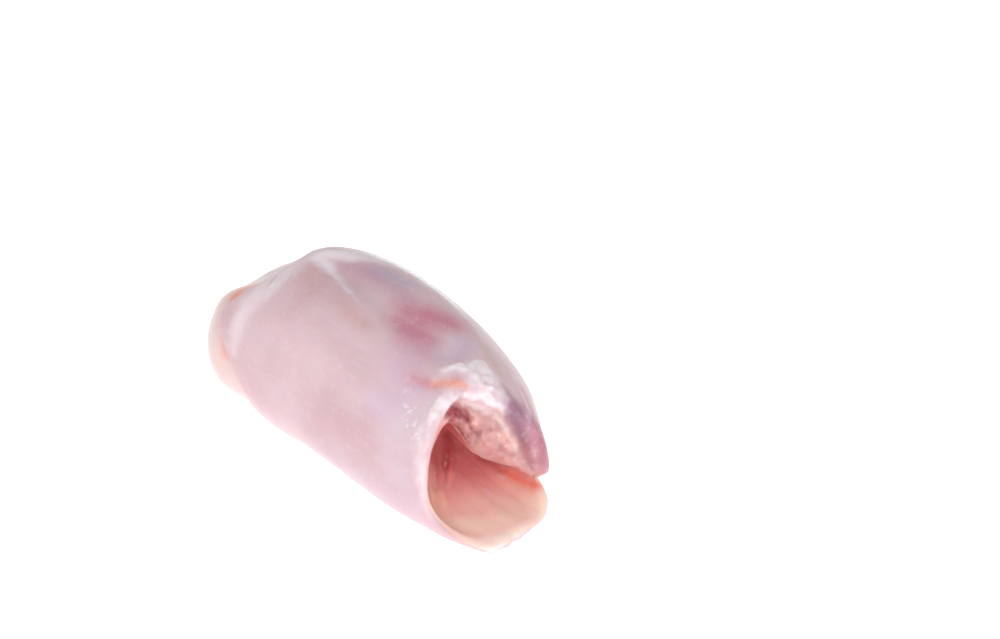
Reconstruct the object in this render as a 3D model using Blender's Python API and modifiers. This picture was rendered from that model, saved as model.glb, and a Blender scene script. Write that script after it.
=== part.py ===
"""A raw boneless, skinless chicken thigh, folded over once into a plump roll and laid on its seam.

Metres, +Z up, resting on z = 0. +X runs from the blunt closed end to the open end of the fold, and -Y is
the side of the fold. One closed surface is lofted in rings: over the outside from the closed end, round the
lip of the mouth, over the cut face of the upper layer and back inside the pocket.
"""

import math

import bmesh
import bpy
import numpy as np

MM = 0.001

# Overall sizes of the roll
CLOSED_END = -56 * MM
CAP_LENGTH = 17 * MM
CAP_FULLNESS = 2.6
COLLAR_LENGTH = 2 * MM
COLLAR_FADE = 8 * MM
SEAM_HEIGHT = 4.5 * MM
POCKET_END = 6 * MM
FLOOR_SAG = 0.8 * MM
# Where the middle of the tables' box lies, which the finished mesh has at the origin
MIDDLE = (-1.699 * MM, -0.09 * MM)

# The roll's section along its length: place along X, left side, right side and crest height
SECTIONS = (
    (-56, -24.0, 15.0, 29.0),
    (-48, -25.2, 19.0, 33.0),
    (-40, -26.8, 22.5, 37.0),
    (-32, -27.2, 25.0, 39.4),
    (-20, -27.4, 27.0, 40.6),
    (-8, -27.2, 27.0, 39.8),
    (8, -26.6, 26.5, 37.2),
    (25, -25.6, 22.5, 33.0),
    (38, -24.0, 15.8, 27.5),
    (52, -22.6, 12.0, 20.0),
)
# The line that the sections are turned about: place along X, Y and Z
AXIS = (
    (-56, -7.0, 16.0),
    (-35, -2.5, 17.0),
    (-10, -1.5, 16.0),
    (15, -3.5, 12.0),
    (32, -6.0, 10.0),
    (52, -6.0, 10.0),
)
UPPER_FULLNESS = 2.15
LOWER_FULLNESS = 2.4

# The mouth, by angle from the right-hand side over the top: how far the meat reaches along X and how
# long its rounded end is, then the radius and the place along X of the cut face's outer edge and of its
# inner edge
MOUTH = (
    (-6, 44.0, 4.0, 14.6, 41.0, 13.6, 39.0),
    (6, 44.0, 5.0, 13.8, 39.3, 7.8, 35.0),
    (24, 42.5, 5.0, 14.0, 37.7, 5.6, 34.5),
    (42, 39.5, 4.0, 15.4, 36.0, 5.2, 34.0),
    (58, 35.5, 2.6, 16.6, 33.2, 5.2, 33.0),
    (73, 32.2, 1.8, 16.4, 31.0, 6.8, 31.5),
    (90, 29.8, 1.5, 17.8, 29.2, 10.2, 30.0),
    (103, 31.0, 1.8, 17.4, 30.6, 14.2, 30.8),
    (120, 33.5, 2.5, 17.2, 33.3, 15.0, 33.3),
    (150, 38.5, 3.0, 17.0, 38.2, 14.8, 38.0),
    (185, 43.0, 3.5, 15.6, 42.4, 13.6, 42.0),
    (212, 48.0, 4.0, 13.6, 47.0, 12.0, 46.5),
    (238, 52.8, 3.5, 9.8, 51.4, 8.6, 50.8),
    (270, 52.6, 3.5, 8.6, 51.4, 7.4, 50.8),
    (305, 51.4, 3.5, 10.6, 50.3, 9.4, 49.8),
    (321, 50.0, 3.0, 14.2, 48.6, 12.8, 47.8),
    (334, 47.2, 2.5, 18.6, 45.8, 17.2, 44.6),
    (344, 41.5, 2.0, 18.8, 40.6, 17.6, 40.0),
)
SEAM_ANGLE = -16.0

# The collar where the outer layer stops at the closed end, by angle: place along X and depth of the groove
COLLAR = (
    (50, -42.0, 0.3),
    (72, -36.0, 1.8),
    (92, -34.0, 3.0),
    (115, -35.5, 3.0),
    (128, -36.6, 2.4),
    (140, -40.0, 1.9),
    (151, -41.6, 1.9),
    (161, -39.0, 2.0),
    (170, -35.0, 2.1),
    (183, -29.5, 2.2),
    (200, -26.5, 2.0),
    (220, -27.0, 1.4),
    (245, -32.0, 0.6),
    (290, -40.0, 0.3),
)

# Rises and hollows of the muscles: place along X, angle, length along X, width in degrees and height
SWELLS = (
    (-14, 128, 20, 24, 0.9),
    (4, 62, 22, 20, 0.9),
    (-18, 92, 17, 8, -0.9),
    (24, 108, 8, 16, -0.7),
    (27, 84, 5, 14, 1.0),
    (22, 165, 16, 18, 0.5),
    (-40, 66, 8, 16, -0.8),
    (-45, 184, 8, 24, 0.6),
    (-50, 140, 5, 16, 0.9),
    (-31, 80, 9, 24, 2.5),
    (-46, 102, 8, 26, -2.6),
    (-19, 222, 9, 20, 1.2),
    (42, 8, 8, 22, -1.2),
)

COLUMNS = 40
CAP_ROWS = 5
OUTER_ROWS = 10
LIP_ROWS = 4
POCKET_ROWS = 6
# How far across the collar's groove and across the cut face the rings there lie
STEP_ROWS = (0.0, 1.0)
FACE_ROWS = (0.0, 0.08, 0.5, 0.92, 1.0)


def smooth_table(table, at, period=None):
    """The table's columns, read at the places in at, along a smooth curve through its rows."""
    rows = np.array(table, float)
    key, values = rows[:, 0], rows[:, 1:]
    if period:
        key = np.concatenate([key[-2:] - period, key, key[:2] + period])
        values = np.concatenate([values[-2:], values, values[:2]])
        at = (at - key[2]) % period + key[2]
    slope = np.gradient(values, key, axis=0)
    i = np.clip(np.searchsorted(key, at, side="right") - 1, 0, len(key) - 2)
    h = key[i + 1] - key[i]
    t = np.clip((at - key[i]) / h, 0, 1)
    t, h = t[..., None], h[..., None]
    return (
        (1 + 2 * t) * (1 - t) ** 2 * values[i]
        + t * (1 - t) ** 2 * h * slope[i]
        + t * t * (3 - 2 * t) * values[i + 1]
        + t * t * (t - 1) * h * slope[i + 1]
    )


def bell(distance, width):
    return np.exp(-((distance / width) ** 2))


def axis_at(x):
    y_z = smooth_table(AXIS, x / MM) * MM
    return y_z[..., 0], y_z[..., 1]


def outer_radius(x, angle):
    """The distance from the axis to the outside of the roll, at x and at an angle in radians."""
    left, right, crest = np.moveaxis(smooth_table(SECTIONS, x / MM) * MM, -1, 0)
    y, z = axis_at(x)
    across, up = np.cos(angle), np.sin(angle)
    half_width = np.where(across > 0, right - y, y - left)
    half_height = np.where(up > 0, crest - z, z + FLOOR_SAG)
    lower = 0.5 - 0.5 * np.tanh(6 * up)
    fullness = UPPER_FULLNESS + (LOWER_FULLNESS - UPPER_FULLNESS) * lower
    power = (np.abs(across) / half_width) ** fullness + (np.abs(up) / half_height) ** fullness
    radius = power ** (-1 / fullness)
    degrees = np.degrees(angle)
    for swell_x, swell_angle, length, width, height in SWELLS:
        around = (degrees - swell_angle + 180) % 360 - 180
        radius = radius + height * MM * bell(x / MM - swell_x, length) * bell(around, width)
    radius = radius * (1 - seam_depth(x) * bell(seam_distance(x, angle), math.radians(4.5)))
    collar_x, depth = collar_at(angle)
    t = np.clip((collar_x - x) / COLLAR_LENGTH, 0, 1)
    past = np.maximum(collar_x - COLLAR_LENGTH - x, 0)
    radius = radius - depth * t * t * (3 - 2 * t) * np.exp(-past / COLLAR_FADE)
    to_end = 1 - np.clip((x - CLOSED_END) / CAP_LENGTH, 0, 1)
    return radius * (1 - to_end**CAP_FULLNESS) ** (1 / CAP_FULLNESS)


def collar_at(angle):
    collar = smooth_table(COLLAR, np.degrees(angle), 360) * MM
    return collar[..., 0], collar[..., 1]


def seam_distance(x, angle):
    y, z = axis_at(x)
    reach = smooth_table(SECTIONS, x / MM)[..., 1] * MM - y
    seam = -np.arctan2(z - SEAM_HEIGHT, reach)
    return (angle - seam + math.pi) % (2 * math.pi) - math.pi


def seam_depth(x):
    return 0.07 + 0.05 / (1 + np.exp(-(x / MM - 30) / 4))


def place(x, radius, angle):
    y, z = axis_at(x)
    across, up = y + radius * np.cos(angle), z + radius * np.sin(angle)
    return np.stack([x - MIDDLE[0], across - MIDDLE[1], np.maximum(up, 0)], -1)


def rings(columns, cap_rows, step_rows, outer_rows, lip_rows, face_rows, pocket_rows):
    """The loft's rings, as an array of rows by columns by 3, and the two poles."""
    turn = np.linspace(0, 2 * math.pi, columns, endpoint=False)
    angle = turn - 0.45 * np.sin(turn - math.radians(SEAM_ANGLE))
    reach, rounding, edge, edge_x, inner, inner_x = np.moveaxis(
        smooth_table(MOUTH, np.degrees(angle), 360) * MM, -1, 0
    )
    collar_x, _ = collar_at(angle)
    shoulder = reach - rounding
    foot = collar_x - COLLAR_LENGTH
    stations = [
        CLOSED_END + (foot - CLOSED_END) * (1 - math.cos(0.5 * math.pi * i / cap_rows))
        for i in range(1, cap_rows)
    ]
    stations += [foot + COLLAR_LENGTH * t for t in step_rows]
    start = stations[-1]
    stations += [start + (shoulder - start) * i / outer_rows for i in range(1, outer_rows + 1)]
    rows = [place(x, outer_radius(x, angle), angle) for x in stations]
    full = outer_radius(shoulder, angle)
    edge = np.minimum(edge, full - 0.8 * MM)
    inner = np.minimum(inner, edge - 0.8 * MM)
    for i in range(1, lip_rows):
        t = i / lip_rows
        x = shoulder * (1 - t) ** 2 + 2 * t * (1 - t) * (reach + 0.35 * rounding) + t * t * edge_x
        radius = full * (1 - t) ** 2 + 2 * t * (1 - t) * (full + edge) / 2 + t * t * edge
        rows.append(place(x, radius, angle))
    for t in face_rows:
        rows.append(place(edge_x + (inner_x - edge_x) * t, edge + (inner - edge) * t, angle))
    for i in range(1, pocket_rows):
        t = i / pocket_rows
        x = inner_x + (POCKET_END - inner_x) * t
        radius = inner * (1 - t**2.2) ** 0.5
        rows.append(place(x, radius, angle))
    first_pole = place(np.array(CLOSED_END), 0.0, 0.0)
    last_pole = place(np.array(POCKET_END), 0.0, 0.0)
    return np.array(rows), first_pole, last_pole


def lofted(name, grid, first_pole, last_pole):
    """A closed mesh through the rings, with a fan of triangles at each pole."""
    mesh = bmesh.new()
    rows = [[mesh.verts.new(point) for point in ring] for ring in grid]
    columns = len(rows[0])
    first, last = mesh.verts.new(first_pole), mesh.verts.new(last_pole)
    for j in range(columns):
        k = (j + 1) % columns
        mesh.faces.new((first, rows[0][k], rows[0][j]))
        mesh.faces.new((last, rows[-1][j], rows[-1][k]))
        for ring, following in zip(rows, rows[1:]):
            mesh.faces.new((ring[j], ring[k], following[k], following[j]))
    bmesh.ops.recalc_face_normals(mesh, faces=mesh.faces)
    data = bpy.data.meshes.new(name)
    mesh.to_mesh(data)
    mesh.free()
    data.shade_smooth()
    return bpy.data.objects.new(name, data)


def meat():
    material = bpy.data.materials.new("raw_meat")
    material.use_nodes = True
    surface = material.node_tree.nodes["Principled BSDF"]
    surface.inputs["Base Color"].default_value = (0.72, 0.5, 0.53, 1)
    surface.inputs["Roughness"].default_value = 0.35
    return material


def main():
    for old in list(bpy.data.objects):
        bpy.data.objects.remove(old)
    collection = bpy.data.collections.new("chicken_thigh")
    bpy.context.scene.collection.children.link(collection)
    loft = rings(COLUMNS, CAP_ROWS, STEP_ROWS, OUTER_ROWS, LIP_ROWS, FACE_ROWS, POCKET_ROWS)
    thigh = lofted("thigh", *loft)
    collection.objects.link(thigh)
    thigh.data.materials.append(meat())
    smooth = thigh.modifiers.new("smooth", "SUBSURF")
    smooth.levels = smooth.render_levels = 1


main()
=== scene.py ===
# A raw boneless, skinless chicken thigh, folded over into a plump roll with an open pocket at one end.
# Sizes in the dictionaries are millimetres and angles are degrees.
# +X runs from the closed end to the pocket, and a ring's angles turn from +Y up to +Z.
import math

import bmesh
import bpy
import numpy as np
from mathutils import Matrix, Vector, noise


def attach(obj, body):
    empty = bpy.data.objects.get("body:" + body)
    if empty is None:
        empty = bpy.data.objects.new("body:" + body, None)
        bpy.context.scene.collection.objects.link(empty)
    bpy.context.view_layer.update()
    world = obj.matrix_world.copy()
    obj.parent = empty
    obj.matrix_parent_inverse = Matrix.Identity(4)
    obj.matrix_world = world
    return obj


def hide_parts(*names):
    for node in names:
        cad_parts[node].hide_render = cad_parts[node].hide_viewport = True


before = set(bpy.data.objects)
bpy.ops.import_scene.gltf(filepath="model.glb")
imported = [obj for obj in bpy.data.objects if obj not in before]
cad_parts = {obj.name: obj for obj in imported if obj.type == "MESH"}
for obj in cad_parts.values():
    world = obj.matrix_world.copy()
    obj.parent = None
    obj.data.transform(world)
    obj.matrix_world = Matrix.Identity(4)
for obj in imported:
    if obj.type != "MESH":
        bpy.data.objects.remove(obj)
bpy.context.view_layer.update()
mm = 0.001


# Small tools


def linear(hexColour):
    parts = [int(hexColour[i : i + 2], 16) / 255 for i in (0, 2, 4)]
    return [v / 12.92 if v <= 0.04045 else ((v + 0.055) / 1.055) ** 2.4 for v in parts] + [1.0]


def smoothStep(value, low, high):
    t = np.clip((value - low) / (high - low), 0, 1)
    return t * t * (3 - 2 * t)


def bell(distance, width):
    return np.exp(-((distance / width) ** 2))


def smoothTable(table, at, period=None):
    # the table's columns, read at the places in at, along a smooth curve through its rows
    rows = np.array(table, float)
    key, values = rows[:, 0], rows[:, 1:]
    if period:
        key = np.concatenate([key[-2:] - period, key, key[:2] + period])
        values = np.concatenate([values[-2:], values, values[:2]])
        at = (at - key[2]) % period + key[2]
    slope = np.gradient(values, key, axis=0)
    i = np.clip(np.searchsorted(key, at, side="right") - 1, 0, len(key) - 2)
    h = key[i + 1] - key[i]
    t = np.clip((at - key[i]) / h, 0, 1)
    t, h = t[..., None], h[..., None]
    read = (1 + 2 * t) * (1 - t) ** 2 * values[i] + t * (1 - t) ** 2 * h * slope[i]
    read = read + t * t * (3 - 2 * t) * values[i + 1] + t * t * (t - 1) * h * slope[i + 1]
    return np.moveaxis(read, -1, 0)


def noiseField(points, size, seed, octaves=3, stretch=(1, 1, 1)):
    # smooth noise of about -1 to 1, whose lumps are size millimetres across
    scaled = points.reshape(-1, 3) / (size * np.array(stretch, float)) + seed * 17.31
    values = [noise.fractal(Vector(p), 0.9, 2.0, octaves) for p in scaled]
    return np.array(values).reshape(points.shape[:-1])


def lumpField(points, size, seed):
    # rounded lumps, 1 at a lump's middle and 0 between lumps
    scaled = points.reshape(-1, 3) / size + seed * 11.7
    values = [1 - min(noise.voronoi(Vector(p))[0][0] * 1.4, 1) for p in scaled]
    return np.array(values).reshape(points.shape[:-1])


def strokeDistance(points, stroke):
    # how far each point is outside a stroke, whose points are x, y, z and half-width: negative is inside
    flat = points.reshape(-1, 3)
    nearest = np.full(len(flat), 1e9)
    stroke = np.array(stroke, float)
    for start, end in zip(stroke, stroke[1:]):
        line = end[:3] - start[:3]
        t = np.clip(((flat - start[:3]) @ line) / max(line @ line, 1e-9), 0, 1)
        gap = np.linalg.norm(flat - start[:3] - t[:, None] * line, axis=1)
        nearest = np.minimum(nearest, gap - start[3] - t * (end[3] - start[3]))
    return nearest.reshape(points.shape[:-1])


# The roll

roll = {
    "closedEnd": -56,
    "capLength": 17,
    "capFullness": 2.6,
    "collarLength": 2,
    "collarFade": 8,
    "floorSag": 0.8,
    "upperFullness": 2.15,
    "lowerFullness": 2.4,
    "sideSharpness": 6,
    # the seam under the free flap: its depth is a part of the radius, and it deepens towards the mouth
    "seamHeight": 4.5,
    "seamAngle": -16,
    "seamWidth": 4.5,
    "seamDepth": 0.07,
    "seamDeepening": 0.05,
    "seamDeepensAt": 30,
    "seamDeepensOver": 4,
    # the pocket, and the least thickness of the meat round it
    "pocketEnd": 6,
    "pocketFullness": 2.2,
    "leastWall": 0.8,
    # the edge of the open end: how it waves in and out below the cut face, its rounding and its one thin lobe
    "rimWave": 0.7,
    "rimWaveSize": 5.2,
    "rimWavesFrom": 160,
    "rimWavesFullyFrom": 220,
    "rimCalm": 0.35,
    "rimSoftness": 24,
    "lobeAngle": 224,
    "lobeWidth": 11,
    "lobeReach": 4.4,
    # rings and columns of the visible mesh, and how closely they crowd at the seam and at the lip
    "columns": 320,
    "capRings": 20,
    "grooveRings": 8,
    "outerRings": 130,
    "mouthRings": 112,
    "seamCrowding": 0.3,
    "lipCrowding": 1.35,
    # the tables' zero, in the row frame turned round: their middle in X and Y
    "middle": (-1.699, -0.09),
    # place along X, left side, right side and crest height
    "sections": (
        (-56, -24.0, 15.0, 29.0),
        (-48, -25.2, 19.0, 33.0),
        (-40, -26.8, 22.5, 37.0),
        (-32, -27.2, 25.0, 39.4),
        (-20, -27.4, 27.0, 40.6),
        (-8, -27.2, 27.0, 39.8),
        (8, -26.6, 26.5, 37.2),
        (25, -25.6, 22.5, 33.0),
        (38, -24.0, 15.8, 27.5),
        (52, -22.6, 12.0, 20.0),
    ),
    # the line that the sections are turned about: X, Y and Z
    "axis": (
        (-56, -7.0, 16.0),
        (-35, -2.5, 17.0),
        (-10, -1.5, 16.0),
        (15, -3.5, 12.0),
        (32, -6.0, 10.0),
        (52, -6.0, 10.0),
    ),
    # by angle: reach along X and length of the rounded end, then the cut face's outer and inner edges,
    # each as a radius and a place along X
    "mouth": (
        (-6, 44.0, 4.0, 14.6, 41.0, 13.6, 39.0),
        (6, 44.0, 5.0, 13.8, 39.3, 7.8, 35.0),
        (24, 42.5, 5.0, 14.0, 37.7, 5.6, 34.5),
        (42, 39.5, 4.0, 15.4, 36.0, 5.2, 34.0),
        (58, 35.5, 2.6, 16.6, 33.2, 5.2, 33.0),
        (73, 32.2, 1.8, 16.4, 31.0, 6.8, 31.5),
        (90, 29.8, 1.5, 17.8, 29.2, 10.2, 30.0),
        (103, 31.0, 1.8, 17.4, 30.6, 14.2, 30.8),
        (120, 33.2, 2.4, 17.2, 33.0, 15.2, 33.0),
        (150, 37.2, 2.6, 17.2, 36.9, 15.4, 36.7),
        (185, 41.4, 3.0, 15.8, 40.8, 14.2, 40.4),
        (212, 47.2, 3.8, 13.6, 46.2, 12.2, 45.7),
        (238, 52.8, 3.5, 9.8, 51.4, 8.6, 50.8),
        (270, 52.6, 3.5, 8.6, 51.4, 7.4, 50.8),
        (305, 51.4, 3.5, 10.6, 50.3, 9.4, 49.8),
        (321, 50.0, 3.0, 14.2, 48.6, 12.8, 47.8),
        (334, 47.2, 2.5, 18.6, 45.8, 17.2, 44.6),
        (344, 41.5, 2.0, 18.8, 40.6, 17.6, 40.0),
    ),
    # where the outer layer stops at the closed end, by angle: place along X and depth of the groove
    "collar": (
        (50, -42.0, 0.3),
        (72, -36.0, 1.8),
        (92, -34.0, 3.0),
        (115, -35.5, 3.0),
        (128, -36.6, 2.4),
        (140, -40.0, 1.9),
        (151, -41.6, 1.9),
        (161, -39.0, 2.0),
        (170, -35.0, 2.1),
        (183, -29.5, 2.2),
        (200, -26.5, 2.0),
        (220, -27.0, 1.4),
        (245, -32.0, 0.6),
        (290, -40.0, 0.3),
    ),
    # rises and hollows of the muscles: X, angle, length, width in degrees and height
    "swells": (
        (-14, 128, 20, 24, 0.9),
        (4, 62, 22, 20, 0.9),
        (-18, 92, 17, 8, -0.9),
        (24, 108, 8, 16, -0.7),
        (27, 84, 5, 14, 1.0),
        (22, 165, 16, 18, 0.5),
        (-40, 66, 8, 16, -0.8),
        (-45, 184, 8, 24, 0.6),
        (-50, 140, 5, 16, 0.9),
        (-31, 80, 9, 24, 2.5),
        (-46, 102, 8, 26, -2.6),
        (-19, 222, 9, 20, 1.2),
        (42, 8, 8, 22, -1.2),
    ),
}


def axisAt(x):
    return smoothTable(roll["axis"], x)


def seamGroove(x, angle):
    # how deep the seam's groove is, as a part of the radius
    y, z = axisAt(x)
    reach = smoothTable(roll["sections"], x)[1] - y
    seam = -np.arctan2(z - roll["seamHeight"], reach)
    away = (angle - seam + math.pi) % (2 * math.pi) - math.pi
    short = np.exp(-(x - roll["seamDeepensAt"]) / roll["seamDeepensOver"])
    depth = roll["seamDepth"] + roll["seamDeepening"] / (1 + short)
    return depth * bell(away, math.radians(roll["seamWidth"]))


def outerRadius(x, angle):
    left, right, crest = smoothTable(roll["sections"], x)
    y, z = axisAt(x)
    across, up = np.cos(angle), np.sin(angle)
    halfWidth = np.where(across > 0, right - y, y - left)
    halfHeight = np.where(up > 0, crest - z, z + roll["floorSag"])
    lower = 0.5 - 0.5 * np.tanh(roll["sideSharpness"] * up)
    fullness = roll["upperFullness"] + (roll["lowerFullness"] - roll["upperFullness"]) * lower
    power = (np.abs(across) / halfWidth) ** fullness + (np.abs(up) / halfHeight) ** fullness
    radius = power ** (-1 / fullness)
    degrees = np.degrees(angle)
    for swellX, swellAngle, length, width, height in roll["swells"]:
        around = (degrees - swellAngle + 180) % 360 - 180
        radius = radius + height * bell(x - swellX, length) * bell(around, width)
    radius = radius * (1 - seamGroove(x, angle))
    collarX, depth = smoothTable(roll["collar"], degrees, 360)
    into = smoothStep(collarX - x, 0, roll["collarLength"])
    past = np.maximum(collarX - roll["collarLength"] - x, 0)
    radius = radius - depth * into * np.exp(-past / roll["collarFade"])
    toEnd = 1 - np.clip((x - roll["closedEnd"]) / roll["capLength"], 0, 1)
    return radius * (1 - toEnd ** roll["capFullness"]) ** (1 / roll["capFullness"])


def place(x, radius, angle):
    # a point of the roll in the row frame
    y, z = axisAt(x)
    across, up = y + radius * np.cos(angle), z + radius * np.sin(angle)
    middle = roll["middle"]
    return np.stack([x - middle[0], across - middle[1], up + 0 * x], -1)


def rimWave(angle):
    # how far the rim's edge moves along X
    degrees = np.degrees(angle) % 360
    ring = np.stack([np.cos(angle), np.sin(angle), 0 * angle], -1) * 15
    wave = noiseField(ring, roll["rimWaveSize"], 9, 3)
    freely = smoothStep(degrees, roll["rimWavesFrom"], roll["rimWavesFullyFrom"])
    lobe = bell(degrees - roll["lobeAngle"], roll["lobeWidth"]) * roll["lobeReach"]
    return wave * roll["rimWave"] * (roll["rimCalm"] + (1 - roll["rimCalm"]) * freely) + lobe


def mouthProfile(angle):
    # one line of points per column, from the shoulder over the lip and the cut face to the pocket's end
    reach, rounding, edge, edgeX, inner, innerX = smoothTable(roll["mouth"], np.degrees(angle), 360)
    shift = rimWave(angle)
    shoulder = reach - rounding
    full = outerRadius(shoulder, angle)
    edge = np.minimum(edge, full - roll["leastWall"])
    inner = np.minimum(inner, edge - roll["leastWall"])
    lipX = reach + shift + 0.35 * rounding
    knots = []
    for t in np.linspace(0, 1, 15):
        x = shoulder * (1 - t) ** 2 + 2 * t * (1 - t) * lipX + t * t * (edgeX + shift)
        radius = full * (1 - t) ** 2 + t * (1 - t) * (full + edge) + t * t * edge
        knots.append((x, radius, 0.5 * t + 0 * x))
    for t in np.linspace(0, 1, 15)[1:]:
        x = edgeX + (innerX - edgeX) * t + shift * (1 - 0.6 * t)
        knots.append((x, edge + (inner - edge) * t, 0.5 + t + 0 * x))
    for t in np.linspace(0, 1, 60)[1:]:
        x = innerX + (roll["pocketEnd"] - innerX) * t + 0.4 * shift * (1 - t)
        narrowing = (1 - min(t, 0.999) ** roll["pocketFullness"]) ** 0.5
        knots.append((x, inner * narrowing, 2 + t + 0 * x))
    knots = np.array(knots)
    rows = roll["mouthRings"]
    made = np.zeros((rows, 3, len(angle)))
    for j in range(len(angle)):
        line = knots[:, :, j]
        gone = np.concatenate([[0], np.cumsum(np.hypot(np.diff(line[:, 0]), np.diff(line[:, 1])))])
        at = gone[-1] * np.linspace(0, 1, rows + 1)[1:] ** roll["lipCrowding"] * 0.995
        for axis in range(3):
            made[:, axis, j] = np.interp(at, gone, line[:, axis])
    degrees = np.degrees(angle) % 360
    onRim = smoothStep(degrees, 100, 125) * (1 - smoothStep(degrees, 336, 350))
    blend = 0.5 * (0.25 + 0.75 * onRim)
    for step in range(roll["rimSoftness"]):
        made[1:-1, :2] += blend * (0.5 * (made[2:, :2] + made[:-2, :2]) - made[1:-1, :2])
    return made[:, 0], made[:, 1], made[:, 2], reach


def rollGrid():
    # points of the loft as rings by columns, and where each is: zone is 0 outside, 0.5 to 1.5 on the cut face
    # and 2 to 3 in the pocket, depth is how far inside the mouth it is and collar how far behind the collar
    turn = np.linspace(0, 2 * math.pi, roll["columns"], endpoint=False)
    angle = turn - roll["seamCrowding"] * np.sin(turn - math.radians(roll["seamAngle"]))
    collarX = smoothTable(roll["collar"], np.degrees(angle), 360)[0]
    foot = collarX - roll["collarLength"]
    closed = roll["closedEnd"]
    mouthX, mouthRadius, mouthZone, reach = mouthProfile(angle)
    shoulder = mouthX[0]
    stations = []
    for i in range(1, roll["capRings"]):
        stations.append(closed + (foot - closed) * (1 - math.cos(0.5 * math.pi * i / roll["capRings"])))
    for i in range(roll["grooveRings"] + 1):
        stations.append(foot + roll["collarLength"] * i / roll["grooveRings"])
    for i in range(1, roll["outerRings"]):
        stations.append(collarX + (shoulder - collarX) * i / roll["outerRings"])
    stations = np.array(stations)
    radius = np.concatenate([[outerRadius(x, angle) for x in stations], mouthRadius])
    x = np.concatenate([stations, mouthX])
    zone = np.concatenate([0 * stations, mouthZone])
    points = np.array([place(x[i], radius[i], angle) for i in range(len(x))])
    poles = [place(np.array(float(end)), 0.0, 0.0) for end in (closed, roll["pocketEnd"])]
    degrees = np.degrees(np.repeat(angle[None, :], len(x), axis=0)) % 360
    spots = {"zone": zone, "x": x, "degrees": degrees, "depth": reach - x, "collar": collarX - x}
    return points, poles, spots


def gridNormals(points):
    along = np.gradient(points, axis=0)
    around = np.roll(points, -1, axis=1) - np.roll(points, 1, axis=1)
    normal = np.cross(around, along)
    normal = normal / np.maximum(np.linalg.norm(normal, axis=-1, keepdims=True), 1e-9)
    middle = len(points) // 3
    outward = points[middle] - points[middle].mean(axis=0)
    return normal * np.sign((normal[middle] * outward).sum())


def meshFromGrid(name, points, poles, masks):
    made = bmesh.new()
    rows = [[made.verts.new(Vector(p) * mm) for p in ring] for ring in points]
    columns = len(rows[0])
    first, last = (made.verts.new(Vector(p) * mm) for p in poles)
    for j in range(columns):
        k = (j + 1) % columns
        made.faces.new((first, rows[0][k], rows[0][j]))
        made.faces.new((last, rows[-1][j], rows[-1][k]))
        for ring, following in zip(rows, rows[1:]):
            made.faces.new((ring[j], ring[k], following[k], following[j]))
    bmesh.ops.recalc_face_normals(made, faces=made.faces)
    mesh = bpy.data.meshes.new(name)
    made.to_mesh(mesh)
    made.free()
    for key, values in masks.items():
        layer = mesh.attributes.new(key, "FLOAT", "POINT")
        filled = np.concatenate([values.reshape(-1), [values[0].mean(), values[-1].mean()]])
        layer.data.foreach_set("value", filled.astype(np.float32))
    mesh.shade_smooth()
    piece = bpy.data.objects.new(name, mesh)
    bpy.context.scene.collection.objects.link(piece)
    return piece


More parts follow.
